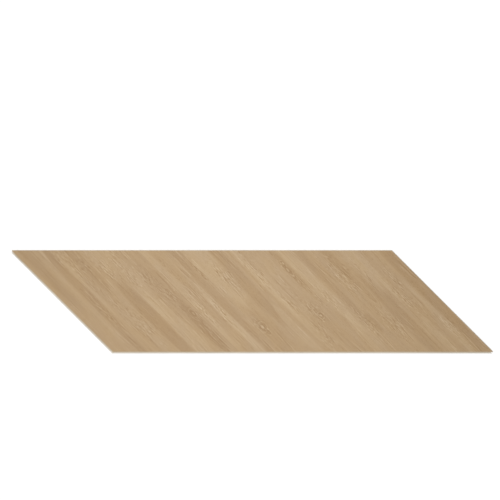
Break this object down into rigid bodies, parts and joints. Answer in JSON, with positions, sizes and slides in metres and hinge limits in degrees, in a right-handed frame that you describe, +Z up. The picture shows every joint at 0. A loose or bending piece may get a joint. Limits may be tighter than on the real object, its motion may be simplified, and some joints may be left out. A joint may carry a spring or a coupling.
{
  "type": "rigid vinyl floor plank",
  "caption": "Flat chevron floor plank with slanted ends, a light oak-look face printed as slats, and a click joint milled along its sides and ends.",
  "frame": {"origin": "on the underside, below the middle of the printed face", "axes": "+X along the long sides, +Y from the grooved to the tongued long side, +Z up out of the printed face"},
  "size_m": [1.4526, 0.3114, 0.005],
  "materials": {
    "plank": "matte light oak print over a grey-beige core"
  },
  "bodies": {
    "root": {"plank": "plank"}
  },
  "joints": []
}
